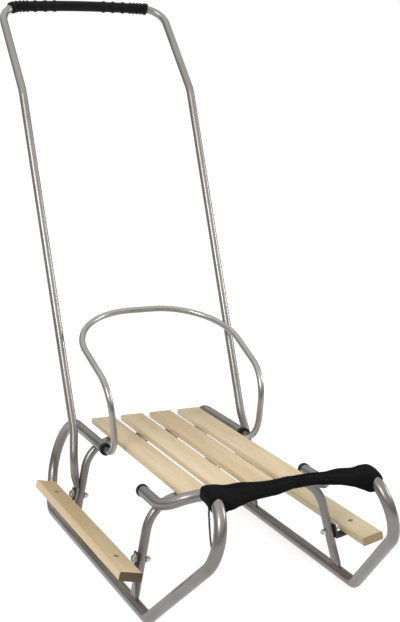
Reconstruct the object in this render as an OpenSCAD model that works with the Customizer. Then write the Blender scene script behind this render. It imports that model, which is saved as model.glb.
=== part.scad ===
// Steel-tube sled with wooden seat slats and foot boards, a pull-out backrest hoop
// and a lift-off push handle. Millimetres, +Z up. The sled travels towards -Y, and
// left and right are the rider's, so the left side is +X. It stands on Z = 0.

/* [Tubes] */
// Outer diameter of the runners and the bumper bar
runner_d = 20; // [18:0.5:22]
// Outer diameter of the two arches
arch_d = 16; // [14:0.5:18]
// Outer diameter of the push handle
handle_d = 16; // [14:0.5:18]
// Outer diameter of the backrest hoop
hoop_d = 12; // [10:0.5:13]
// Wall of every tube
wall = 1.5; // [1:0.1:2]

/* [Runners] */
// Distance between the runner centre lines on the ground
track = 380; // [340:5:440]
// Length of the straight ground run, corner to corner
ground_len = 571; // [480:5:680]
// Bend radius between the ground run and the rise
toe_bend_r = 28; // [22:1:45]
// Angle of the rise in front
rise_angle = 40.8; // [30:0.2:48]
// Length of the rise, up to the curl
rise_len = 219; // [180:1:260]
// Radius of the curl
curl_r = 60; // [50:1:70]
// Straight tail that the curl ends in
curl_tail = 10; // [8:1:16]
// Inward lean of the rise and the curl
curl_lean = 13; // [6:0.5:18]
// Angle of the heel behind the ground run
heel_angle = 57; // [45:1:70]
// Half width at the hook's mouth
hook_half_w = 141; // [138:0.5:146]
// Bend radius between the ground run and the heel
heel_bend_r = 45; // [30:1:60]
// Radius of the rear hook
hook_r = 84; // [75:1:100]
// Straight part of the hook, up to its mouth
hook_len = 172; // [150:1:200]

/* [Seat] */
// Height of the seat's top face
seat_top = 202.5; // [195:0.5:230]
// Number of slats
slat_count = 4; // [4:1:4]
// Width of one slat
slat_w = 47.5; // [42:0.5:52]
// Thickness of a slat
slat_t = 12.5; // [12:0.5:18]
// Gap between two slats
slat_gap = 13.5; // [5:0.5:15]
// Length of a slat
slat_len = 502; // [470:1:520]

/* [Arches] */
// Distance from the front corner of the runners to the front arch's feet
front_arch_y = 66; // [55:1:90]
// Distance from the front corner of the runners to the rear arch's feet
rear_arch_y = 411; // [380:1:450]
// Half width of the front arch where its leg and crossbar lines would meet
front_half_w = 154; // [148:1:158]
// Half width of the rear arch where its leg and crossbar lines would meet
rear_half_w = 148; // [144:1:152]
// Bend radius of an arch
arch_bend_r = 65; // [60:1:70]
// Backward lean of the front arch
front_arch_lean = 4; // [0:0.5:8]
// Backward lean of the rear arch
rear_arch_lean = 8.5; // [4:0.5:12]
// Width of the pinched foot along the runner
foot_w = 24; // [20:1:28]
// Thickness of the pinched foot
foot_t = 5; // [4:0.5:7]
// Length over which the leg is pinched
pinch_len = 36; // [28:1:42]

/* [Bumper bar] */
// Half width of the bumper bar, to the centre line of its arms
bumper_half_w = 153; // [150:0.5:156]
// Y of the corners where its arms begin to turn
bumper_y = 36; // [30:1:42]
// Length of an arm behind that corner
arm_len = 85; // [70:1:100]
// Half width of the bar's straight front
bumper_front_w = 112; // [95:1:114]
// How far the bar's front lies ahead of its corners
bumper_reach = 28; // [20:1:34]
// How far the bar's front lies above its arms
bumper_rise = 21; // [16:1:24]
// Bend radius at the arms
bumper_bend_r = 45; // [35:1:50]
// Bend radius at the ends of the straight front
bumper_front_r = 60; // [50:1:70]

/* [Foot boards] */
// Width of a foot board
board_w = 40; // [34:1:50]
// Thickness of a foot board
board_t = 15.5; // [13:0.5:18]
// Length of a foot board
board_len = 499; // [430:1:560]
// Distance from the board's front end to the front corner of the runners
board_front = -6; // [-30:1:10]
// Height of the bracket bolts above the ground, on the leg's centre line
bolt_z = 84; // [78:1:90]
// Distance from the leg's centre line to the board
board_off = 25; // [23:0.5:32]
// Width of a bracket
bracket_w = 20; // [16:1:24]
// Thickness of a bracket
bracket_t = 3; // [2:0.5:4]

/* [Fasteners] */
// Diameter of the bracket bolts
bolt_d = 6; // [5:0.5:6]
// Hexagon of the bracket bolts and nuts, across flats
hex_af = 10; // [9:0.5:11]
// Washer diameter
washer_d = 18; // [14:1:20]
// Diameter of the slat screws and board screws
screw_d = 4.5; // [4:0.5:5]
// Diameter of the screw heads
screw_head_d = 9; // [8:0.5:10]

/* [Backrest hoop] */
// Length of the hoop's ends inside the hook tubes
hoop_in = 36; // [25:1:45]
// Distance from the mouth of the hook to the hoop's upright part
hoop_reach = 67; // [60:1:80]
// Bend radius of the hoop's ends
hoop_end_r = 50; // [40:1:55]
// Height of the hoop's rearward bend above the hook
hoop_up = 129; // [115:1:150]
// Radius of the rearward bend
hoop_back_r = 73; // [60:1:80]
// Half width of the hoop at its top
hoop_half_w = 161; // [152:1:175]
// Length of the hoop's top, front to back
hoop_depth = 256; // [230:1:280]
// Rise of the hoop's top over that length
hoop_rise = 93; // [70:1:110]
// Corner radius of the hoop's top
hoop_corner_r = 133; // [110:1:140]

/* [Push handle] */
// Height of the joint where the handle lifts off its sockets
joint_z = 124; // [122:1:128]
// Length of the spigot inside the handle
spigot_len = 22; // [16:1:24]
// Height of the kink above the ground
kink_z = 844; // [760:5:900]
// Backward distance from the joint to the kink
kink_back = 315; // [280:1:340]
// Half width of the handle at the kink
handle_half_w = 183.5; // [176:0.5:190]
// Rise from the kink to the top bar
top_rise = 174; // [150:1:200]
// Backward distance from the kink to the top bar
top_back = 171; // [150:1:200]
// Corner radius of the top bar
top_corner_r = 47; // [40:1:55]
// Length of the grip
grip_len = 274; // [240:1:276]
// Thickness of the grip's sleeve
grip_t = 3; // [2:0.5:4]

/* [Front strap] */
// Outer diameter of the strap's end pockets
pocket_d = 27; // [25:1:32]
// How far round the curl a pocket reaches, in degrees
pocket_arc = 26; // [20:1:32]
// How far the strap hangs below the curls' ends
strap_drop = 4; // [2:0.5:6]
// Width of the strap between the pockets
strap_w = 40; // [30:1:44]
// Thickness of the strap
strap_t = 6; // [4:1:10]
// Diameter of the tie cord
cord_d = 3; // [2:0.5:4]

/* [Clearances] */
// Radial gap between a pocket and the tube inside it
cloth_gap = 0.3; // [0.2:0.1:0.6]
// Gap between the bumper bar's front and the slats behind it
bumper_gap = 6; // [5:0.5:9]
// Gap where a welded or resting piece meets its neighbour
seat_gap = 0.2; // [0.1:0.05:0.3]
// Radial gap of plugs, bushings and the spigots in their tubes
plug_gap = 0.1; // [0.05:0.01:0.1]
// Radial gap between the grip and the bar inside it
grip_gap = 0.2; // [0.1:0.05:0.3]
// Radial gap between the hoop's ends and their bushings
slide_gap = 0.06; // [0.03:0.01:0.1]
// Radial gap of a bolt or screw in its hole
hole_gap = 0.2; // [0.1:0.05:0.4]

/* [Hidden] */

steel = [0.56, 0.54, 0.53];
birch = [0.83, 0.74, 0.58];
black = [0.07, 0.07, 0.08];
zinc = [0.78, 0.79, 0.80];

half_track = track / 2;
runner_r = runner_d / 2;
arch_r = arch_d / 2;
tube_in_r = runner_r - wall;
// Height of the arch crossbars' centre line, under the slats
crossbar_z = seat_top - slat_t - seat_gap - arch_r;
leg_rise = crossbar_z - runner_d;

// Arches: one end of each is [feet's Y, half width, backward lean]
FRONT = [front_arch_y, front_half_w, front_arch_lean];
REAR = [rear_arch_y, rear_half_w, rear_arch_lean];
function leg_tilt(arch) = atan((half_track - arch[1]) / leg_rise);
function leg_point(arch, z) = [half_track - (z - runner_d) * tan(leg_tilt(arch)),
    arch[0] + (z - runner_d) * tan(arch[2]), z];
function leg_dir(arch) = unit(leg_point(arch, crossbar_z) - leg_point(arch, runner_d));
// Height at which a tube along Y rests on the arch's shoulder, at half width x
function shoulder_z(arch, x) =
    crossbar_z - arch_bend_r
    + sqrt(pow(arch_bend_r + arch_r + runner_r + seat_gap, 2)
        - pow(x - arch[1] + arch_bend_r * tan(45 - leg_tilt(arch) / 2), 2));

// Runners: points in planes that lean inward about the ground line
function leaned(y, h, lean) = [half_track - h * sin(lean), y, runner_r + h * cos(lean)];
curl_cut = curl_r * tan(90 - rise_angle / 2);
curl_corner = leaned(-(rise_len + curl_cut) * cos(rise_angle),
    (rise_len + curl_cut) * sin(rise_angle), curl_lean);
curl_end = curl_corner + [0, curl_cut + curl_tail, 0];
curl_front_y = curl_r * (sin(rise_angle) - 1) - rise_len * cos(rise_angle) - runner_r;
hook_z = shoulder_z(REAR, hook_half_w);
hook_lean = atan((half_track - hook_half_w) / (hook_z - runner_r));
hook_rise = (hook_z - runner_r) / cos(hook_lean);
heel_len = (hook_rise - hook_r * (1 + cos(heel_angle))) / sin(heel_angle);
hook_cut = hook_r * tan(90 - heel_angle / 2);
hook_corner = leaned(ground_len + (heel_len + hook_cut) * cos(heel_angle), hook_rise, hook_lean);
hook_mouth = hook_corner - [0, hook_cut + hook_len, 0];
RUNNER_PATH = [curl_end, curl_corner, [half_track, 0, runner_r], [half_track, ground_len, runner_r],
    hook_corner, hook_mouth];
RUNNER_BENDS = [curl_r, toe_bend_r, heel_bend_r, hook_r];

// Bumper bar: arms on the front arch's shoulders, the front of the bar higher and further ahead
arm_z = shoulder_z(FRONT, bumper_half_w);
BUMPER_SIDE = [[bumper_half_w, bumper_y + arm_len, arm_z], [bumper_half_w, bumper_y, arm_z],
    [bumper_front_w, bumper_y - bumper_reach, arm_z + bumper_rise]];
arm_end = BUMPER_SIDE[0];
// The slats begin just behind the bar
slat_front = bumper_y - bumper_reach + runner_r + bumper_gap;

// Brackets, in a frame on a leg: x out from the leg, y back, z up along it
socket_flat_t = 4;
washer_t = 1.6;
head_t = 4;
nut_t = 5;
thread_out = 3;
board_top = 2;
board_under = board_top - board_t - seat_gap;
board_screw_x = board_off + board_w / 2;
screw_head_t = 2.5;
board_nut_af = 8;
board_nut_t = 4;

// Push handle: spigot line, then two easy bends, the kink and the bowed top bar
slide_tilt = 8.5;
slide_dir = [0, sin(slide_tilt), cos(slide_tilt)];
joint = [182.5, leg_point(REAR, joint_z)[1] - 2.5, joint_z];
low_bend = joint + 33 * slide_dir;
mid_bend = [175.5, low_bend[1] + 19, low_bend[2] + 47];
kink = [handle_half_w, joint[1] + kink_back, kink_z];
top_corner = kink + [0, top_back, top_rise];
top_dir = unit([0, top_back, top_rise]);
top_bow = 8;
top_mid = [0, top_corner[1], top_corner[2]] + top_bow * top_dir;
top_mid_r = 1900;
top_turn = 2 * atan(top_bow / handle_half_w);
HANDLE_PATH = [joint, low_bend, mid_bend, kink, top_corner, top_mid];
HANDLE_BENDS = [80, 120, 60, top_corner_r, top_mid_r];
grip_d = handle_d + 2 * grip_t;
ring_d = grip_d + 2.4;

// Backrest hoop: ends in the hooks, uprights, then the raked top
hoop_foot = hook_mouth - [0, hoop_reach, 0];
hoop_bend = [hook_half_w + 11.5, hoop_foot[1] - 1.5, hook_z + hoop_up];
hoop_corner = [hoop_half_w, hoop_bend[1] + hoop_depth, hoop_bend[2] + hoop_rise];
HOOP_PATH = [hook_mouth + [0, hoop_in, 0], hoop_foot, hoop_bend, hoop_corner];
HOOP_BENDS = [hoop_end_r, hoop_back_r, hoop_corner_r];
bushing_lip = 9;
// How far a tube's straights lap over its bends, and how much thicker they are
lap = 0.5;
hair = 0.02;

// Front strap: pockets over the curl tails
pocket_r = pocket_d / 2;
curl_up = [-sin(curl_lean), 0, cos(curl_lean)];
tail_start = [curl_end[0], curl_end[1] - curl_tail, curl_end[2]];
// Tie cord of the right pocket, from its underside to the curl's lower bend
CORD_PATH = [[-137, -124, 240], [-138, -127, 235], [-139, -131, 230], [-141, -135, 224],
    [-142, -139, 218], [-143.5, -143, 212], [-145, -148, 205], [-146.5, -153, 199],
    [-148, -158, 193.5], [-149.5, -164, 188], [-150.5, -169, 184], [-152, -175, 179]];

// The whole model is moved so that its box is centred over the origin
top_mid_y = top_mid[1] - top_dir[1] * top_mid_r * (1 / cos(top_turn / 2) - 1);
centre_y = (curl_front_y + top_mid_y + grip_d / 2) / 2;

// ---------- helpers ----------
function unit(v) = v / norm(v);
function mirrored(p) = [-p[0], p[1], p[2]];
function reversed(list) = [for (i = [len(list) - 1:-1:0]) list[i]];
function bend_turn(path, i) = acos(unit(path[i] - path[i - 1]) * unit(path[i + 1] - path[i]));
function bend_cut(path, radii, i) =
    i == 0 || i == len(path) - 1 ? 0 : radii[i - 1] * tan(bend_turn(path, i) / 2);

// Children in a frame at p whose X and Y axes are xa and ya
module at_frame(p, xa, ya) {
    za = cross(xa, ya);
    multmatrix([[xa[0], ya[0], za[0], p[0]], [xa[1], ya[1], za[1], p[1]],
        [xa[2], ya[2], za[2], p[2]], [0, 0, 0, 1]]) children();
}

// Children with their Z axis from p along dir
module along(p, dir) {
    side = unit(cross(abs(dir[2]) < 0.9 ? [0, 0, 1] : [0, 1, 0], dir));
    at_frame(p, side, cross(dir, side)) children();
}

module rod(p, q, d) along(p, unit(q - p)) cylinder(h = norm(q - p), d = d, $fn = 64);

module ring_2d(d, inner_d) difference() {
    circle(d = d, $fn = 64);
    if (inner_d > 0) circle(d = inner_d, $fn = 64);
}

// A tube of outer diameter d along a path of corners, with a radius at each inner corner.
// Its straights are a hair thicker than its bends and lap over their ends.
module bent_tube(path, radii, d, inner_d) {
    last = len(path) - 1;
    for (i = [0:last - 1]) {
        dir = unit(path[i + 1] - path[i]);
        start = path[i] + dir * (bend_cut(path, radii, i) - (i > 0 ? lap : 0));
        stop = path[i + 1] - dir * (bend_cut(path, radii, i + 1) - (i < last - 1 ? lap : 0));
        along(start, dir) linear_extrude(height = norm(stop - start))
            ring_2d(d + 2 * hair, inner_d - 2 * hair);
    }
    for (i = [1:last - 1]) {
        into = unit(path[i] - path[i - 1]);
        out = unit(path[i + 1] - path[i]);
        towards = unit(out - into * (into * out));
        r = radii[i - 1];
        at_frame(path[i] - into * bend_cut(path, radii, i) + towards * r, -towards, into)
            rotate_extrude(angle = bend_turn(path, i), $fn = r > 300 ? 720 : 96)
                translate([r, 0]) ring_2d(d, inner_d);
    }
}

module grip() {
    // The sleeve follows the bowed bar; a straight stretch at each end carries the rings
    half = grip_len / 2;
    bar_dir = unit(top_mid - top_corner);
    arc_cut = top_mid_r * tan(top_turn / 2);
    inner_d = handle_d + 2 * grip_gap;
    difference() {
        union() {
            bent_tube([grip_point(half), top_mid, mirrored(grip_point(half))], [top_mid_r], grip_d,
                inner_d);
            both_sides() for (s = [96:9:half - 8]) {
                p = grip_point(s + 3);
                along(p, bar_dir) linear_extrude(height = 3) ring_2d(ring_d, inner_d + 1);
            }
        }
    }
}
// A point of the bar's straight line, s out from the middle
function grip_point(s) = top_mid + (top_corner - top_mid) * (s / handle_half_w);

module left_side() children();
module right_side() mirror([1, 0, 0]) children();
module both_sides() {
    left_side() children();
    right_side() children();
}
// Moves the sled's own frame, from the runners' front corners, to the model's origin
module placed() translate([0, -centre_y, 0]) children();

// ---------- frame ----------
module runner_tube() bent_tube(RUNNER_PATH, RUNNER_BENDS, runner_d, runner_d - 2 * wall);

// The leg's end, pinched flat and coped onto the runner
module pinched_foot(arch) {
    top = leg_point(arch, runner_d + pinch_len);
    difference() {
        hull() {
            along(top, leg_dir(arch)) cylinder(h = 1, d = arch_d - 0.5, $fn = 32);
            translate([half_track - foot_t / 2, arch[0] - foot_w / 2, runner_d - 5])
                cube([foot_t, foot_w, 11]);
        }
        rod([half_track, arch[0] - foot_w, runner_r], [half_track, arch[0] + foot_w, runner_r],
            runner_d + 2 * seat_gap);
    }
}

module arch_tube(arch) {
    leg = leg_point(arch, runner_d + pinch_len + 0.5);
    corner = leg_point(arch, crossbar_z);
    bar_y = corner[1];
    difference() {
        bent_tube([leg, corner, mirrored(corner), mirrored(leg)], [arch_bend_r, arch_bend_r],
            arch_d, arch_d - 2 * wall);
        both_sides() on_leg(arch) rotate([0, 90, 0])
            cylinder(h = 2 * arch_d, d = bolt_d + 2 * hole_gap, center = true, $fn = 32);
        for (i = [0:slat_count - 1]) translate([slat_x(i), bar_y, crossbar_z])
            cylinder(h = 2 * arch_d, d = screw_d + 2 * hole_gap, center = true, $fn = 32);
    }
    both_sides() pinched_foot(arch);
}

module bumper_bar() bent_tube(concat(BUMPER_SIDE, reversed([for (p = BUMPER_SIDE) mirrored(p)])),
    [bumper_bend_r, bumper_front_r, bumper_front_r, bumper_bend_r], runner_d, 2 * tube_in_r);

// A plug in the open end of a tube, with a rounded lip outside it
module end_plug(p, dir, depth, lip_d, lip_t) along(p, dir) {
    translate([0, 0, -depth]) cylinder(h = depth, r = tube_in_r - plug_gap, $fn = 48);
    edge_r = min(2, lip_t / 2);
    rotate_extrude($fn = 64) {
        square([lip_d / 2 - edge_r, lip_t]);
        square([lip_d / 2, lip_t - edge_r]);
        translate([lip_d / 2 - edge_r, lip_t - edge_r]) circle(r = edge_r, $fn = 32);
    }
}

module hoop_bushing() {
    bore_r = hoop_d / 2 + slide_gap;
    along(hook_mouth + [0, hoop_in + 4, 0], [0, -1, 0]) difference() {
        union() {
            cylinder(h = hoop_in + 4, r = tube_in_r - plug_gap, $fn = 64);
            translate([0, 0, hoop_in + 4]) cylinder(h = bushing_lip, d = runner_d + 3, $fn = 64);
        }
        translate([0, 0, 3]) cylinder(h = hoop_in + 20, r = bore_r, $fn = 64);
    }
}

// ---------- brackets, sockets and fasteners ----------
// Children in the frame of a leg at the bolt: X out, Y back, Z up along the leg
module on_leg(arch) {
    tilt = leg_tilt(arch);
    translate(leg_point(arch, bolt_z)) rotate([0, -tilt, 0]) children();
}
// Children in the foot boards' frame, level with the bolt of one arch
module on_board(arch) translate([leg_point(FRONT, bolt_z)[0], leg_point(arch, bolt_z)[1], bolt_z])
    rotate([0, -leg_tilt(FRONT), 0]) children();
function tab_off(arch) = arch_r + seat_gap + (arch == REAR ? socket_flat_t + seat_gap : 0);

module bracket(arch) {
    x0 = tab_off(arch);
    board_x0 = x0 + leg_point(arch, bolt_z)[0] - leg_point(FRONT, bolt_z)[0] + bracket_t / 2;
    difference() {
        union() {
            on_leg(arch) translate([x0, -bracket_w / 2, board_under - bracket_t])
                cube([bracket_t, bracket_w, 10 - board_under + bracket_t]);
            on_board(arch) translate([board_x0, -bracket_w / 2, board_under - bracket_t])
                cube([board_off + board_w * 0.8 - board_x0, bracket_w, bracket_t]);
        }
        on_leg(arch) translate([x0 - 1, 0, 0]) rotate([0, 90, 0])
            cylinder(h = bracket_t + 2, d = bolt_d + 2 * hole_gap, $fn = 32);
        on_board(arch) translate([board_screw_x, 0, board_under - bracket_t - 1])
            cylinder(h = bracket_t + 2, d = screw_d + 2 * hole_gap, $fn = 32);
    }
}

module bracket_bolt(arch) on_leg(arch) rotate([0, 90, 0]) {
    head_at = tab_off(arch) + bracket_t + washer_t + 2 * seat_gap;
    tail = arch_r + nut_t + thread_out;
    translate([0, 0, -tail]) cylinder(h = tail + head_at, d = bolt_d, $fn = 32);
    translate([0, 0, head_at]) cylinder(h = head_t, d = hex_af / cos(30), $fn = 6);
}

module bracket_washer(arch) on_leg(arch) rotate([0, 90, 0])
    translate([0, 0, tab_off(arch) + bracket_t + seat_gap]) difference() {
        cylinder(h = washer_t, d = washer_d, $fn = 48);
        translate([0, 0, -1]) cylinder(h = washer_t + 2, d = bolt_d + 2 * hole_gap, $fn = 32);
    }

module bracket_nut(arch) on_leg(arch) rotate([0, 90, 0])
    translate([0, 0, -arch_r - seat_gap - nut_t]) difference() {
        cylinder(h = nut_t, d = hex_af / cos(30), $fn = 6);
        translate([0, 0, -1]) cylinder(h = nut_t + 2, d = bolt_d + 2 * plug_gap, $fn = 32);
    }

module board_screw(arch) on_board(arch) translate([board_screw_x, 0, board_top]) {
    shank = board_t + bracket_t + board_nut_t + 3;
    translate([0, 0, -shank]) cylinder(h = shank, d = screw_d, $fn = 32);
    translate([0, 0, -screw_head_t])
        cylinder(h = screw_head_t, d1 = screw_d, d2 = screw_head_d, $fn = 32);
}

module board_nut(arch) on_board(arch)
    translate([board_screw_x, 0, board_under - bracket_t - seat_gap - board_nut_t]) difference() {
        cylinder(h = board_nut_t, d = board_nut_af / cos(30), $fn = 6);
        translate([0, 0, -1]) cylinder(h = board_nut_t + 2, d = screw_d + 2 * plug_gap, $fn = 32);
    }

// A spigot for the handle, its shoulder, and a pinched end under the rear bracket
module handle_socket() {
    shoulder = joint - 3 * slide_dir;
    difference() {
        union() {
            rod(shoulder, joint + spigot_len * slide_dir,
                handle_d - 2 * wall - 2 * plug_gap);
            rod(shoulder, joint - seat_gap * slide_dir, handle_d);
            hull() {
                along(shoulder, slide_dir) cylinder(h = 1, d = handle_d - 0.5, $fn = 32);
                on_leg(REAR) socket_flat(9, 4, 0.3);
            }
            on_leg(REAR) socket_flat(-10, 24, 0);
        }
        on_leg(REAR) rotate([0, 90, 0])
            cylinder(h = 3 * arch_d, d = bolt_d + 2 * hole_gap, $fn = 32);
    }
}

// A length h of the pinched end, from height z of the leg's frame, and inset on every side
module socket_flat(z, h, inset) translate([arch_r + seat_gap + inset, inset - bracket_w / 2, z])
    cube([socket_flat_t - 2 * inset, bracket_w - 2 * inset, h]);

// ---------- wood ----------
// A bar along +Y, its top at Z = 0, with its long edges broken
module wood_bar(w, t, length) translate([0, length, 0]) rotate([90, 0, 0])
    linear_extrude(height = length) translate([-w / 2, -t]) polygon([[2, 0], [w - 2, 0], [w, 2],
        [w, t - 2], [w - 2, t], [2, t], [0, t - 2], [0, 2]]);

function slat_x(i) = (i - (slat_count - 1) / 2) * (slat_w + slat_gap);

module slat(i) color(birch) placed() difference() {
    translate([slat_x(i), slat_front, seat_top]) wood_bar(slat_w, slat_t, slat_len);
    for (arch = [FRONT, REAR]) translate([slat_x(i), leg_point(arch, crossbar_z)[1], 0])
        cylinder(h = seat_top - slat_t + 11, d = screw_d + 2 * hole_gap, $fn = 32);
}

// A screw up through the crossbar into the slat
module slat_screw(i, arch) {
    under = crossbar_z - arch_r - seat_gap;
    translate([slat_x(i), leg_point(arch, crossbar_z)[1], under]) {
        cylinder(h = seat_top - slat_t + 10 - under, d = screw_d, $fn = 32);
        translate([0, 0, -screw_head_t]) cylinder(h = screw_head_t, d = screw_head_d, $fn = 32);
    }
}

module foot_board() difference() {
    translate([leg_point(FRONT, bolt_z)[0], board_front, bolt_z]) rotate([0, -leg_tilt(FRONT), 0])
        translate([board_screw_x, 0, board_top]) wood_bar(board_w, board_t, board_len);
    for (arch = [FRONT, REAR]) on_board(arch) translate([board_screw_x, 0, board_top]) {
        cylinder(h = 60, d = screw_d + 2 * hole_gap, center = true, $fn = 32);
        translate([0, 0, -screw_head_t - hole_gap]) cylinder(h = screw_head_t + 2 * hole_gap,
            d1 = screw_d + 2 * hole_gap, d2 = screw_head_d + 2 * hole_gap, $fn = 32);
    }
}

// ---------- strap and cord ----------
// A sleeve of cloth over the last of the curl, closed behind its end
module strap_pocket() difference() {
    union() {
        curl_cover(pocket_arc, pocket_d);
        translate(curl_end + [0, 4, 0]) sphere(r = pocket_r, $fn = 48);
    }
    curl_cover(pocket_arc + 10, runner_d + 2 * cloth_gap);
}

// The last of the curl, from an angle before its tail, as a solid of diameter d
module curl_cover(arc, d) {
    rod(tail_start - [0, 0.3, 0], curl_end + [0, 4, 0], d + 2 * hair);
    at_frame(tail_start - curl_up * curl_r, curl_up, [0, -1, 0])
        rotate_extrude(angle = arc, $fn = 96) translate([curl_r, 0]) circle(d = d, $fn = 64);
}

module strap_band() translate([0, tail_start[1] + 2, curl_end[2] - strap_drop]) difference() {
    cube([2 * curl_end[0], strap_w, strap_t], center = true);
    for (side = [-1, 1]) translate([side * curl_end[0], 0, 0]) rotate([90, 0, 0])
        cylinder(h = 2 * strap_w, r = pocket_r - 1.5, center = true, $fn = 48);
}

// Points of a ring of n sides about path[i]
function ring_points(path, i, r, n) =
    let (before = path[max(i - 1, 0)], after = path[min(i + 1, len(path) - 1)],
        dir = unit(after - before), u = unit(cross([1, 0, 0], dir)), v = cross(dir, u))
    [for (k = [0:n - 1]) path[i] + r * (cos(360 * k / n) * u + sin(360 * k / n) * v)];

module swept_cord(path, d, n) {
    rings = [for (i = [0:len(path) - 1]) each ring_points(path, i, d / 2, n)];
    sides = [for (i = [0:len(path) - 2], k = [0:n - 1])
        [i * n + k, i * n + (k + 1) % n, (i + 1) * n + (k + 1) % n, (i + 1) * n + k]];
    polyhedron(points = rings, convexity = 4, faces = concat(sides,
        [[for (k = [n - 1:-1:0]) k]], [[for (k = [0:n - 1]) (len(path) - 1) * n + k]]));
}

// ---------- nodes ----------
module left_runner_tube() color(steel) placed() left_side() runner_tube();
module right_runner_tube() color(steel) placed() right_side() runner_tube();
module front_arch() color(steel) placed() arch_tube(FRONT);
module rear_arch() color(steel) placed() arch_tube(REAR);
module bumper_bar_node() color(steel) placed() bumper_bar();
module bumper_end_caps() color(black) placed() both_sides()
    end_plug(arm_end + [0, seat_gap, 0], [0, 1, 0], 16, runner_d + 2.5, 8);
module curl_end_plugs() color(black) placed() both_sides()
    end_plug(curl_end + [0, seat_gap, 0], [0, 1, 0], curl_tail - 1, runner_d, 3);
module hoop_bushings() color(black) placed() both_sides() hoop_bushing();
module handle_sockets() color(steel) placed() both_sides() handle_socket();
module slat_screws() color(zinc) placed()
    for (i = [0:slat_count - 1], arch = [FRONT, REAR]) slat_screw(i, arch);
module left_foot_board() color(birch) placed() left_side() foot_board();
module right_foot_board() color(birch) placed() right_side() foot_board();
module foot_board_brackets() color(steel) placed() both_sides() {
    bracket(FRONT);
    bracket(REAR);
}
module bracket_bolts() color(zinc) placed() both_sides() {
    bracket_bolt(FRONT);
    bracket_bolt(REAR);
}
module bracket_washers() color(zinc) placed() both_sides() {
    bracket_washer(FRONT);
    bracket_washer(REAR);
}
module bracket_nuts() color(zinc) placed() both_sides() {
    bracket_nut(FRONT);
    bracket_nut(REAR);
}
module board_screws() color(zinc) placed() both_sides() {
    board_screw(FRONT);
    board_screw(REAR);
}
module board_nuts() color(zinc) placed() both_sides() {
    board_nut(FRONT);
    board_nut(REAR);
}
module front_strap() color(black) placed() {
    both_sides() strap_pocket();
    strap_band();
}
module strap_tie_cord() color(black) placed() swept_cord(CORD_PATH, cord_d, 8);
module backrest_hoop() color(steel) placed()
    bent_tube(concat(HOOP_PATH, reversed([for (p = HOOP_PATH) mirrored(p)])),
        concat(HOOP_BENDS, reversed(HOOP_BENDS)), hoop_d, hoop_d - 2 * wall);
module push_handle() color(steel) placed()
    bent_tube(concat(HANDLE_PATH, reversed([for (i = [0:4]) mirrored(HANDLE_PATH[i])])),
        concat(HANDLE_BENDS, reversed([for (i = [0:3]) HANDLE_BENDS[i]])), handle_d,
        handle_d - 2 * wall);
module handle_grip() color(black) placed() grip();

left_runner_tube();
right_runner_tube();
front_arch();
rear_arch();
bumper_bar_node();  // bumper_bar
bumper_end_caps();
curl_end_plugs();
hoop_bushings();
handle_sockets();
slat(0);  // seat_slat_1
slat(1);  // seat_slat_2
slat(2);  // seat_slat_3
slat(3);  // seat_slat_4
slat_screws();
left_foot_board();
right_foot_board();
foot_board_brackets();
bracket_bolts();
bracket_washers();
bracket_nuts();
board_screws();
board_nuts();
front_strap();
strap_tie_cord();
backrest_hoop();
push_handle();
handle_grip();
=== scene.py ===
import math

import bmesh
import bpy
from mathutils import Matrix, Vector


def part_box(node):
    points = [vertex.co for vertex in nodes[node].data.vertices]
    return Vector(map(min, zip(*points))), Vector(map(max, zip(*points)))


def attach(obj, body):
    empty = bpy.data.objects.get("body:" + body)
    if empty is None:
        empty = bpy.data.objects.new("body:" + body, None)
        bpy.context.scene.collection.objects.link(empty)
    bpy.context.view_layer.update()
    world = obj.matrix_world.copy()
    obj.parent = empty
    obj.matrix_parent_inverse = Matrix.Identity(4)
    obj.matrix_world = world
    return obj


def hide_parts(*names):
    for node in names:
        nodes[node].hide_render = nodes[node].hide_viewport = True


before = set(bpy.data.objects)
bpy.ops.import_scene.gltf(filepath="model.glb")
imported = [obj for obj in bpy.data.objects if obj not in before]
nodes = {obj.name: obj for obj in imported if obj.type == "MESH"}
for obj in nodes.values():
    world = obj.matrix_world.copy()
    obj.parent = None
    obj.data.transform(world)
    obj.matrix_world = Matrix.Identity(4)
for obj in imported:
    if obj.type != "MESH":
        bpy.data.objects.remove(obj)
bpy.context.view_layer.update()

# ---- Camera ----
# A long lens 0.87 m above the ground, in front of the rider's right runner, turned towards
# the sled and slightly down.
CAMERA_PLACE = (-0.8378, -2.14559, 0.8693)
CAMERA_DOWN = 0.187
CAMERA_TURN = 0.392
camera = bpy.data.cameras.new("front_right_view")
camera.lens = 72.3415
camera.shift_x = 0.00193
camera.shift_y = 0.00482
camera.clip_end = 60
camera_stand = bpy.data.objects.new("front_right_view", camera)
camera_stand.location = CAMERA_PLACE
camera_stand.rotation_euler = (math.radians(90) - CAMERA_DOWN, 0, -CAMERA_TURN)
bpy.context.scene.collection.objects.link(camera_stand)
bpy.context.scene.camera = camera_stand
bpy.context.scene.view_settings.view_transform = "Standard"


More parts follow.
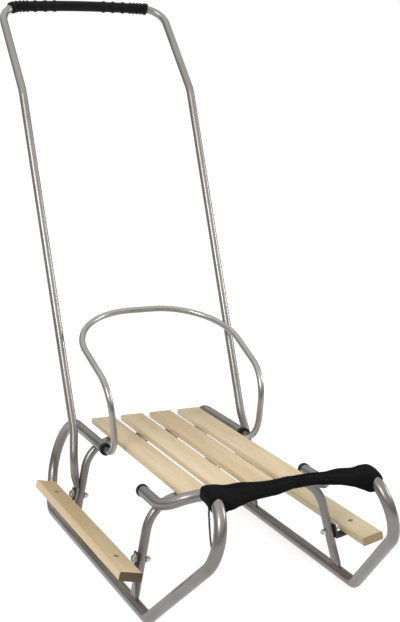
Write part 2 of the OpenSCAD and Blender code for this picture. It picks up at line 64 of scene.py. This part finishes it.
# ---- Tie cord of the front strap ----
# A thin braided cord from the underside of the strap's right pocket down to the inside
# of the curl, where it is fast to the tube. It is pulled tight, and 3 mm thick.
class Wire:
    """A value or colour in a finish. Sums written on it add Math nodes."""

    def __init__(self, tree, socket=None):
        self.tree = tree
        self.socket = socket

    def node(self, kind, sockets=(), stops=(), out=0, **settings):
        """A node of one kind, with its settings and the values or wires of its sockets."""
        made = self.tree.nodes.new("ShaderNode" + kind)
        for name, value in settings.items():
            setattr(made, name, value)
        if stops:
            ramp = made.color_ramp.elements
            while len(ramp) < len(stops):
                ramp.new(0.5)
            for element, (place, colour) in zip(ramp, stops):
                element.position = place
                element.color = colour
        for name, value in dict(sockets).items():
            if isinstance(value, Wire):
                self.tree.links.new(value.socket, made.inputs[name])
            else:
                made.inputs[name].default_value = value
        return Wire(self.tree, made.outputs[out] if made.outputs else None)

    def __add__(self, other):
        return self.node("Math", {0: self, 1: other}, operation="ADD")

    def __radd__(self, other):
        return self.node("Math", {0: other, 1: self}, operation="ADD")

    def __mul__(self, other):
        return self.node("Math", {0: self, 1: other}, operation="MULTIPLY")

    def __rmul__(self, other):
        return self.node("Math", {0: other, 1: self}, operation="MULTIPLY")

    def place(self, scale=(1, 1, 1), turn=(0, 0, 0), shift=(0, 0, 0)):
        """The place on the piece, scaled, turned and shifted for a pattern."""
        return self.node("Mapping", {"Vector": self.node("TexCoord", out=3), "Scale": scale,
                                     "Rotation": turn, "Location": shift})

    def noise(self, size, detail=4):
        return self.node("TexNoise", {"Vector": self.place(), "Scale": size,
                                      "Detail": detail, "Roughness": 0.55})

    def span(self, low, high):
        """This value's stretch from low to high, spread over 0 to 1."""
        return self.node("MapRange", {0: self, 1: low, 2: high, 3: 0.0, 4: 1.0})

    def mix(self, first, second):
        """The first colour where this value is 0, and the second where it is 1."""
        return self.node("Mix", {0: self, 6: first, 7: second}, out=2, data_type="RGBA")

    def bump(self, strength, distance):
        return self.node("Bump", {"Height": self, "Strength": strength, "Distance": distance})


def new_finish(name):
    """A new material and the wire that its nodes are made from."""
    material = bpy.data.materials.new(name)
    material.use_nodes = True
    material.node_tree.nodes.clear()
    return material, Wire(material.node_tree)


def put_on(wire, **sockets):
    """Ends a finish in one Principled shader."""
    named = {name.replace("_", " "): value for name, value in sockets.items()}
    shader = wire.node("BsdfPrincipled", named)
    wire.node("OutputMaterial", {"Surface": shader})


cord_black, wire = new_finish("braided_cord_black")
braid = wire.node("TexWave", {"Vector": wire.place(turn=(0.6, 0.4, 0.0)), "Scale": 260.0,
                              "Distortion": 1.5}, bands_direction="Z")
put_on(wire, Base_Color=braid.mix((0.012, 0.012, 0.013, 1), (0.05, 0.05, 0.052, 1)),
       Roughness=0.75, Normal=braid.bump(0.6, 0.0004))

# The route is in millimetres: across from the sled's middle, back from the corner where
# the runners leave the ground, and up from the ground.
CURL_TO_CORNER = 0.19658
TIE_CORD_D = 0.003
TIE_CORD_ROUTE = [(-137, -124, 240), (-138, -127, 235), (-139, -131, 230), (-141, -135, 224),
                  (-142, -139, 218), (-143.5, -143, 212), (-145, -148, 205),
                  (-146.5, -153, 199), (-148, -158, 193.5), (-149.5, -164, 188),
                  (-150.5, -169, 184), (-152, -175, 179)]
corner_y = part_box("left_runner_tube")[0][1] + CURL_TO_CORNER
route = [Vector((x / 1000, y / 1000 + corner_y, z / 1000)) for x, y, z in TIE_CORD_ROUTE]
curve = bpy.data.curves.new("tie_cord", "CURVE")
curve.dimensions = "3D"
curve.bevel_depth = TIE_CORD_D / 2
curve.bevel_resolution = 3
curve.use_fill_caps = True
spline = curve.splines.new("POLY")
spline.points.add(len(route) - 1)
for point, place in zip(spline.points, route):
    point.co = (*place, 1)
curve.materials.append(cord_black)
tie_cord = bpy.data.objects.new("tie_cord", curve)
bpy.context.scene.collection.objects.link(tie_cord)
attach(tie_cord, "sled")
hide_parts("strap_tie_cord")


# ---- Front strap ----
# A band of heavy black cloth between the curls, with a pocket sewn round each curl's end.
# It is pulled tight, narrows towards the middle and hangs lower on the rider's right.
def add_piece(name, bm, body, material, smooth_angle):
    """A finished mesh as a piece on a body, smooth except at its sharp edges."""
    mesh = bpy.data.meshes.new(name)
    bm.to_mesh(mesh)
    bm.free()
    mesh.shade_smooth()
    mesh.set_sharp_from_angle(angle=math.radians(smooth_angle))
    mesh.materials.append(material)
    piece = bpy.data.objects.new(name, mesh)
    bpy.context.scene.collection.objects.link(piece)
    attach(piece, body)
    return piece


def new_ring(bm, sides, radius):
    """The points and the edges of a new ring round the origin."""
    verts = bmesh.ops.create_circle(bm, segments=sides, radius=radius)["verts"]
    edges = []
    for vert in verts:
        edges += [edge for edge in vert.link_edges if edge not in edges]
    return verts, edges


def skin(bm, rings):
    """Joins each ring of edges to the next one."""
    for before, after in zip(rings, rings[1:]):
        bmesh.ops.bridge_loops(bm, edges=before + after)


def ramp(value, start, length):
    """0 up to start, then rising evenly to 1 over a length."""
    return min(1.0, max(0.0, (value - start) / length))


strap_cloth, wire = new_finish("woven_cloth_black")
THREAD_SCALE = 420.0
across_threads = wire.node("TexWave", {"Vector": wire.place(), "Scale": THREAD_SCALE},
                           bands_direction="X")
along_threads = wire.node("TexWave", {"Vector": wire.place(), "Scale": THREAD_SCALE},
                          bands_direction="Y")
weave = across_threads * along_threads
slubs = wire.noise(260.0)
put_on(wire, Base_Color=(0.5 * weave + 0.5 * slubs).mix((0.0015, 0.0015, 0.0018, 1),
                                                       (0.005, 0.005, 0.0055, 1)),
       Roughness=0.5 + 0.2 * slubs, Specular_IOR_Level=0.05,
       Normal=(weave + slubs).bump(0.5, 0.0005))

# Places across the sled from its middle, then the strap's back and front edges from the
# curls' ends, the height of its middle line, its half thickness, and its tilt in degrees.
STRAP_STATIONS = (
    (0.000, 0.000, -0.022, 0.0035, 0.0056, 13), (0.020, 0.000, -0.023, 0.0035, 0.0056, 14),
    (0.040, 0.000, -0.024, 0.0035, 0.0056, 16), (0.060, 0.000, -0.027, 0.0030, 0.0056, 19),
    (0.080, 0.000, -0.031, 0.0020, 0.0058, 23), (0.095, 0.000, -0.036, 0.0, 0.0062, 24),
    (0.106, 0.001, -0.041, -0.0010, 0.0074, 20), (0.115, 0.002, -0.0445, -0.0012, 0.0094, 10),
    (0.121, 0.003, -0.0460, -0.0006, 0.0114, 3), (0.126, 0.003, -0.0462, 0.0, 0.0124, 0),
    (0.134, 0.003, -0.0462, 0.0, 0.0128, 0), (0.140, 0.003, -0.0460, 0.0, 0.0126, 0),
    (0.1445, 0.0015, -0.0445, 0.0, 0.0112, 0), (0.1470, -0.001, -0.042, 0.0, 0.0085, 0),
    (0.1484, -0.004, -0.038, 0.0, 0.0050, 0))
STRAP_HALF = STRAP_STATIONS[-1][0]
STRAP_SIDES = 36
STRAP_STEPS = 56             # rings on each half, closer together towards the ends
FREE_HALF = 0.118            # the strap hangs free between the pockets
SAG = 0.0075                 # how much wider it hangs on the rider's right
SAG_DROP = 0.48              # the drop of its middle line, as a share of that
SAG_TILT = 350               # degrees of added tilt for each metre of that
FOLD_H, SMALL_FOLD_H = 0.0011, 0.0007
GATHER_H, GATHER_AT, GATHER_WIDE = 0.0013, 0.112, 0.014
EDGE_WAVE = 0.0012
CURL_R, CURL_TAIL = 0.060, 0.013
plug_low, plug_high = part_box("curl_end_plugs")
CURL_BACK_Y = plug_high[1]
CURL_Z = (plug_low[2] + plug_high[2]) / 2


def strap_station(place):
    """The row of STRAP_STATIONS' values at a place between two of its rows."""
    for before, after in zip(STRAP_STATIONS, STRAP_STATIONS[1:]):
        if place <= after[0]:
            share = (place - before[0]) / (after[0] - before[0])
            return [a + (b - a) * share for a, b in zip(before, after)]
    return STRAP_STATIONS[-1]


def strap_ring(bm, across):
    """One ring of the strap: a flat loop, tilted and folded, bent over the curl's end."""
    _, back, front, height, half_thick, tilt = strap_station(abs(across))
    sag = SAG * ramp(-across, -0.045, 0.075) * max(0.0, 1 - (abs(across) / FREE_HALF) ** 6)
    front -= sag
    height -= SAG_DROP * sag
    tilt = math.radians(tilt + SAG_TILT * sag)
    half_wide = (back - front) / 2 / max(0.6, math.cos(tilt))
    middle = Vector((across, CURL_BACK_Y + (back + front) / 2, CURL_Z + height))
    side = 1 if across > 0 else -1
    free = max(0.0, 1 - (abs(across) / FREE_HALF) ** 4)
    blunt = 0.75 - 0.45 * ramp(abs(across), 0.105, 0.020)
    over_tube = ramp(abs(across), 0.100, 0.022)
    gathered = GATHER_H * math.exp(-((abs(across) - GATHER_AT) / GATHER_WIDE) ** 2)
    wave = EDGE_WAVE * math.sin(70 * across + 0.8) * free
    verts, edges = new_ring(bm, STRAP_SIDES, 1.0)
    for vert in verts:
        turn = math.atan2(vert.co.y, vert.co.x)
        flat = math.copysign(abs(math.cos(turn)) ** blunt, math.cos(turn))
        thick = math.copysign(abs(math.sin(turn)) ** blunt, math.sin(turn))
        fold = (FOLD_H * math.sin(9 * flat + 38 * across + side)
                + SMALL_FOLD_H * math.sin(15 * flat - 61 * across))
        relief = fold * free + gathered * math.sin(11 * flat)
        up = half_thick * thick + relief * (1 if thick > 0 else -0.6)
        along = half_wide * flat + wave
        vert.co = middle + Vector((0, along * math.cos(tilt) - up * math.sin(tilt),
                                   along * math.sin(tilt) + up * math.cos(tilt)))
        ahead = max(0.0, CURL_BACK_Y - CURL_TAIL - vert.co.y)
        vert.co.z -= over_tube * (CURL_R - math.sqrt(CURL_R ** 2 - ahead ** 2))
    return verts, edges


bm = bmesh.new()
rings = []
for step in range(-STRAP_STEPS, STRAP_STEPS + 1):
    rings.append(strap_ring(bm, STRAP_HALF * math.sin(math.pi / 2 * step / STRAP_STEPS)))
skin(bm, [edges for _, edges in rings])
for end_verts, _ in (rings[0], rings[-1]):
    bmesh.ops.contextual_create(bm, geom=end_verts)
bmesh.ops.recalc_face_normals(bm, faces=bm.faces)
front_band = add_piece("front_band", bm, "sled", strap_cloth, 70)
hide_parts("front_strap")


# ---- Steel tubes ----
# Bent steel tube under a thin grey metallic lacquer, faintly clouded and a little uneven
# in its gloss. The arches stand on the runners, and the handle and the hoop pull out. The
# hoop's thinner rod is brighter.
def tube_finish(name, dark, light, metallic, rough):
    material, wire = new_finish(name)
    clouds = wire.noise(14.0, 3)
    grain = wire.noise(900.0, 2)
    put_on(wire, Base_Color=(0.75 * clouds + 0.25 * grain).span(0.3, 0.7).mix(dark, light),
           Metallic=metallic, Roughness=rough + 0.10 * clouds + 0.06 * grain,
           Normal=(0.4 * grain + 0.6 * clouds).bump(0.08, 0.0006))
    return material


sled_steel = tube_finish("lacquered_tube_grey", (0.175, 0.160, 0.152, 1),
                         (0.245, 0.228, 0.218, 1), 0.80, 0.24)
handle_steel = tube_finish("lacquered_handle_grey", (0.200, 0.190, 0.176, 1),
                           (0.270, 0.257, 0.240, 1), 0.80, 0.24)
hoop_steel = tube_finish("polished_hoop_steel", (0.27, 0.255, 0.243, 1),
                         (0.35, 0.335, 0.32, 1), 0.88, 0.20)
for name in ("left_runner_tube", "right_runner_tube", "front_arch", "rear_arch", "bumper_bar",
             "handle_sockets"):
    nodes[name].material_slots[0].material = sled_steel
nodes["push_handle"].material_slots[0].material = handle_steel
nodes["backrest_hoop"].material_slots[0].material = hoop_steel

# ---- Brackets, bolts and screws ----
# Bent steel brackets hold the foot boards to the arches' legs, with zinc-plated hex
# bolts, washers and nuts; the brackets are coloured near black as painted shade. Countersunk
# screws hold the boards and the slats, and have gone duller than the bolts.
bracket_painted_shade_black, wire = new_finish("bracket_painted_shade_black")
clouds = wire.noise(120.0)
# The near-black colour is painted shade, standing in for the shadow between leg and board.
put_on(wire, Base_Color=clouds.mix((0.02, 0.019, 0.018, 1), (0.06, 0.056, 0.052, 1)),
       Metallic=0.5, Roughness=0.4 + 0.2 * clouds, Normal=clouds.bump(0.15, 0.0004))
nodes["foot_board_brackets"].material_slots[0].material = bracket_painted_shade_black

zinc, wire = new_finish("zinc_plate")
clouds = wire.noise(200.0)
put_on(wire, Base_Color=clouds.mix((0.42, 0.42, 0.41, 1), (0.62, 0.62, 0.60, 1)),
       Metallic=0.95, Roughness=0.22 + 0.2 * clouds, Normal=clouds.bump(0.1, 0.0003))
for name in ("bracket_bolts", "bracket_washers", "bracket_nuts", "board_nuts"):
    nodes[name].material_slots[0].material = zinc

dull_zinc, wire = new_finish("dulled_screw_zinc")
clouds = wire.noise(350.0)
put_on(wire, Base_Color=clouds.mix((0.06, 0.058, 0.052, 1), (0.22, 0.21, 0.19, 1)),
       Metallic=0.8, Roughness=0.35 + 0.2 * clouds, Normal=clouds.bump(0.15, 0.0003))
for name in ("board_screws", "slat_screws"):
    nodes[name].material_slots[0].material = dull_zinc


# ---- Seat slats and foot boards ----
# Planed softwood bars with rounded edges under a clear lacquer. The grain runs along each
# bar in soft streaks, and the sawn ends are darker. Screws hold the slats to the arches
# and the foot boards to their brackets.
def wood_finish(name, pale, brown, end_pale, end_brown, seed):
    """A wood whose grain runs along Y. Each seed takes its streaks from another place."""
    material, wire = new_finish(name)
    grain = wire.place(scale=(20, 1.3, 20), shift=(seed * 3.1, seed * 1.7, seed * 0.9))
    fibres = wire.node("TexNoise", {"Vector": grain, "Scale": 7.0, "Detail": 6.0})
    clouds = wire.node("TexNoise", {"Vector": grain, "Scale": 0.8, "Detail": 3.0,
                                    "Distortion": 0.6})
    pores = wire.node("TexNoise", {"Vector": wire.place(scale=(900, 30, 900)), "Scale": 1.0,
                                   "Detail": 2.0})
    face = (0.25 * fibres + 0.60 * clouds + 0.15 * pores).span(0.36, 0.62).mix(brown, pale)
    end = (0.35 * fibres + 0.65 * pores).mix(end_brown, end_pale)
    facing = wire.node("SeparateXYZ", {"Vector": wire.node("NewGeometry", out=1)}, out=1)
    put_on(wire, Base_Color=(facing * facing).span(0.6, 0.9).mix(face, end),
           Roughness=0.42 + 0.14 * fibres, Coat_Weight=0.18, Coat_Roughness=0.25,
           Normal=(0.6 * pores + 0.4 * fibres).bump(0.12, 0.0005))
    return material


LONG_EDGE_R = 0.0035
END_EDGE_R = 0.0012


def round_edges(bm, edges, radius, segments):
    bmesh.ops.bevel(bm, geom=edges, offset=radius, offset_type="OFFSET", segments=segments,
                    profile=0.5, affect="EDGES", material=-1)


def wood_slat(name, node, material):
    """A rounded bar that fills the box of a CAD slat, which lies along Y."""
    low, high = (Vector(corner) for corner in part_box(node))
    bm = bmesh.new()
    bmesh.ops.create_cube(bm, size=1.0)
    bmesh.ops.scale(bm, verts=bm.verts, vec=high - low)
    bmesh.ops.translate(bm, verts=bm.verts, vec=(low + high) / 2)
    long_edges = [e for e in bm.edges if abs(e.verts[0].co.y - e.verts[1].co.y) > 0.1]
    round_edges(bm, long_edges, LONG_EDGE_R, 5)
    end_edges = [e for e in bm.edges
                 if sum(abs(face.normal.y) > 0.9 for face in e.link_faces) == 1]
    round_edges(bm, end_edges, END_EDGE_R, 2)
    slat = add_piece(name, bm, "sled", material, 40)
    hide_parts(node)


SLAT_COUNT = 4
for number in range(1, SLAT_COUNT + 1):
    slat_wood = wood_finish(f"slat_wood_{number}", (0.56, 0.455, 0.295, 1),
                            (0.43, 0.31, 0.165, 1), (0.36, 0.24, 0.12, 1),
                            (0.20, 0.12, 0.055, 1), number)
    wood_slat(f"slat_{number}", f"seat_slat_{number}", slat_wood)
left_wood = wood_finish("left_board_wood", (0.53, 0.45, 0.28, 1), (0.42, 0.33, 0.175, 1),
                        (0.34, 0.25, 0.12, 1), (0.20, 0.13, 0.06, 1), 6)
# The right board's sawn ends are painted far darker than the left board's ends, as painted
# shade.
right_wood_painted_shade_ends = wood_finish("right_board_wood_painted_shade_ends", (0.56, 0.45, 0.28, 1), (0.43, 0.31, 0.16, 1),
                         (0.095, 0.050, 0.021, 1), (0.035, 0.018, 0.008, 1), 9)
nodes["left_foot_board"].material_slots[0].material = left_wood
nodes["right_foot_board"].material_slots[0].material = right_wood_painted_shade_ends

# ---- Caps, plugs and bushings ----
# Moulded black plastic. Caps close the bumper bar's ends and plugs the curls', both
# pushed in, and bushings in the rear hooks hold the backrest hoop.
black_plastic, wire = new_finish("moulded_plastic_black")
clouds = wire.noise(300.0)
put_on(wire, Base_Color=clouds.mix((0.005, 0.005, 0.005, 1), (0.014, 0.013, 0.013, 1)),
       Roughness=0.28 + 0.2 * clouds, Specular_IOR_Level=0.12,
       Normal=clouds.bump(0.15, 0.0004))
for name in ("bumper_end_caps", "curl_end_plugs", "hoop_bushings"):
    nodes[name].material_slots[0].material = black_plastic

# ---- Handle grip ----
# A black rubber sleeve pushed over the handle's bar, round into both corners. It is plain
# in the middle, then has three wide raised rings and four narrow ones on each half, and a
# thick lip at each end.
grip_rubber, wire = new_finish("grip_rubber_black")
clouds = wire.noise(500.0)
put_on(wire, Base_Color=clouds.mix((0.003, 0.003, 0.003, 1), (0.010, 0.010, 0.010, 1)),
       Roughness=0.32 + 0.2 * clouds, Specular_IOR_Level=0.07,
       Normal=clouds.bump(0.2, 0.0004))

GRIP_R, VALLEY_R, SHOULDER_R = 0.0110, 0.0108, 0.0112
WIDE_RING_R, NARROW_RING_R, LIP_R = 0.0127, 0.0124, 0.0126
GRIP_SIDES = 40
GRIP_SHIFT = -0.0065         # it sits a little towards the rider's right
PLAIN_HALF = 0.046
# The bar is bowed, then straight, then bends into the corners.
BOW_HALF, BOW_R = 0.083, 1.9
CORNER_START, CORNER_R = 0.1385, 0.047
DOWN_LEG = Vector((0, -0.701, -0.713))
grip_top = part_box("handle_grip")[1]
bar_middle = Vector((0, grip_top[1] - GRIP_R, grip_top[2] - GRIP_R))

# The grip's outline on one half: the length from its middle, and the radius there.
half_outline = [(PLAIN_HALF, GRIP_R)]
for start, valley in ((0.052, 0.066), (0.073, 0.088), (0.0955, 0.110)):
    half_outline += [(start, SHOULDER_R), (start + 0.0025, WIDE_RING_R),
                     (start + 0.0050, WIDE_RING_R), (start + 0.0075, SHOULDER_R),
                     (valley, VALLEY_R)]
for number in range(4):
    start = 0.114 + 0.008 * number
    half_outline += [(start, VALLEY_R), (start + 0.0015, NARROW_RING_R),
                     (start + 0.0040, NARROW_RING_R), (start + 0.0055, VALLEY_R)]
half_outline += [(0.1460, VALLEY_R), (0.1475, LIP_R), (0.1535, LIP_R), (0.1555, 0.0118),
                 (0.1562, 0.0102), (0.1562, 0.0084)]
plain_middle = [(PLAIN_HALF * (step / 6 - 1), GRIP_R) for step in range(1, 12)]
outline = [(-along, radius) for along, radius in half_outline[::-1]]
outline += plain_middle + half_outline


def on_bar(along):
    """Centre of the bar at a length along it from the middle, and its slope there."""
    reach = abs(along)
    side = math.copysign(1, along)
    slope = min(reach, BOW_HALF) / BOW_R
    drop = min(reach, BOW_HALF) ** 2 / (2 * BOW_R)
    drop += max(0.0, min(reach, CORNER_START) - BOW_HALF) * slope
    outward = min(reach, CORNER_START)
    if reach > CORNER_START:
        turn = slope + (reach - CORNER_START) / CORNER_R
        outward += CORNER_R * (math.sin(turn) - math.sin(slope))
        drop += CORNER_R * (math.cos(slope) - math.cos(turn))
        slope = turn
    return bar_middle + Vector((side * outward, 0, 0)) + DOWN_LEG * drop, side * slope


bm = bmesh.new()
rings = []
for along, radius in outline:
    middle, slope = on_bar(along + GRIP_SHIFT)
    outward = Vector((math.cos(slope), 0, 0)) + DOWN_LEG * math.sin(slope)
    up = Vector((math.sin(slope), 0, 0)) - DOWN_LEG * math.cos(slope)
    sideways = outward.cross(up)
    verts, edges = new_ring(bm, GRIP_SIDES, radius)
    for vert in verts:
        vert.co = middle + up * vert.co.x + sideways * vert.co.y
    rings.append(edges)
skin(bm, rings)
bmesh.ops.recalc_face_normals(bm, faces=bm.faces)
grip = add_piece("grip", bm, "handle", grip_rubber, 40)
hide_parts("handle_grip")

# ---- Studio ----
# A flat white floor that glows a little, so that shadows stay faint, under white air and
# two soft round lights.
floor_white, wire = new_finish("floor_white")
put_on(wire, Base_Color=(0.28, 0.28, 0.28, 1), Roughness=0.9, Specular_IOR_Level=0.0,
       Emission_Color=(1, 1, 1, 1), Emission_Strength=0.80)
FLOOR_HALF = 20.0
FLOOR_DROP = 0.0005
bm = bmesh.new()
bmesh.ops.create_grid(bm, x_segments=1, y_segments=1, size=FLOOR_HALF)
bmesh.ops.translate(bm, verts=bm.verts, vec=(0, 0, -FLOOR_DROP))
mesh = bpy.data.meshes.new("studio_floor")
bm.to_mesh(mesh)
bm.free()
mesh.materials.append(floor_white)
studio_floor = bpy.data.objects.new("studio_floor", mesh)
bpy.context.scene.collection.objects.link(studio_floor)

# Glossy surfaces reflect a sky that is dark at eye level and bright above, which gives
# the tubes their light and dark sides.
world = bpy.data.worlds.new("studio_air")
world.use_nodes = True
world.node_tree.nodes.clear()
wire = Wire(world.node_tree)
upward = wire.node("SeparateXYZ", {"Vector": wire.node("TexCoord", out=0)}, out=2)
sky = wire.node("ValToRGB", {"Fac": upward.span(-0.2, 0.9)}, stops=(
    (0.0, (0.42, 0.41, 0.40, 1)), (0.2, (0.13, 0.125, 0.12, 1)),
    (0.4, (0.20, 0.195, 0.19, 1)), (0.6, (1.0, 1.0, 1.0, 1)), (1.0, (1.4, 1.4, 1.4, 1))))
seen_in_gloss = wire.node("LightPath", out=3)
air = wire.node("Background", {"Color": seen_in_gloss.mix((1, 1, 1, 1), sky),
                               "Strength": 1.0})
wire.node("OutputWorld", {"Surface": air})
bpy.context.scene.world = world


def soft_light(name, place, aim, size, power):
    """A round light at a place, turned towards its aim."""
    lamp = bpy.data.lights.new(name, "AREA")
    lamp.shape = "DISK"
    lamp.size = size
    lamp.energy = power
    stand = bpy.data.objects.new(name, lamp)
    stand.location = place
    stand.rotation_euler = (Vector(aim) - Vector(place)).to_track_quat("-Z", "Y").to_euler()
    bpy.context.scene.collection.objects.link(stand)


soft_light("key_light", (-2.2, -2.0, 2.6), (0, 0, 0.3), 1.2, 60)
soft_light("side_light", (2.8, -0.6, 1.6), (0, 0, 0.4), 0.8, 30)
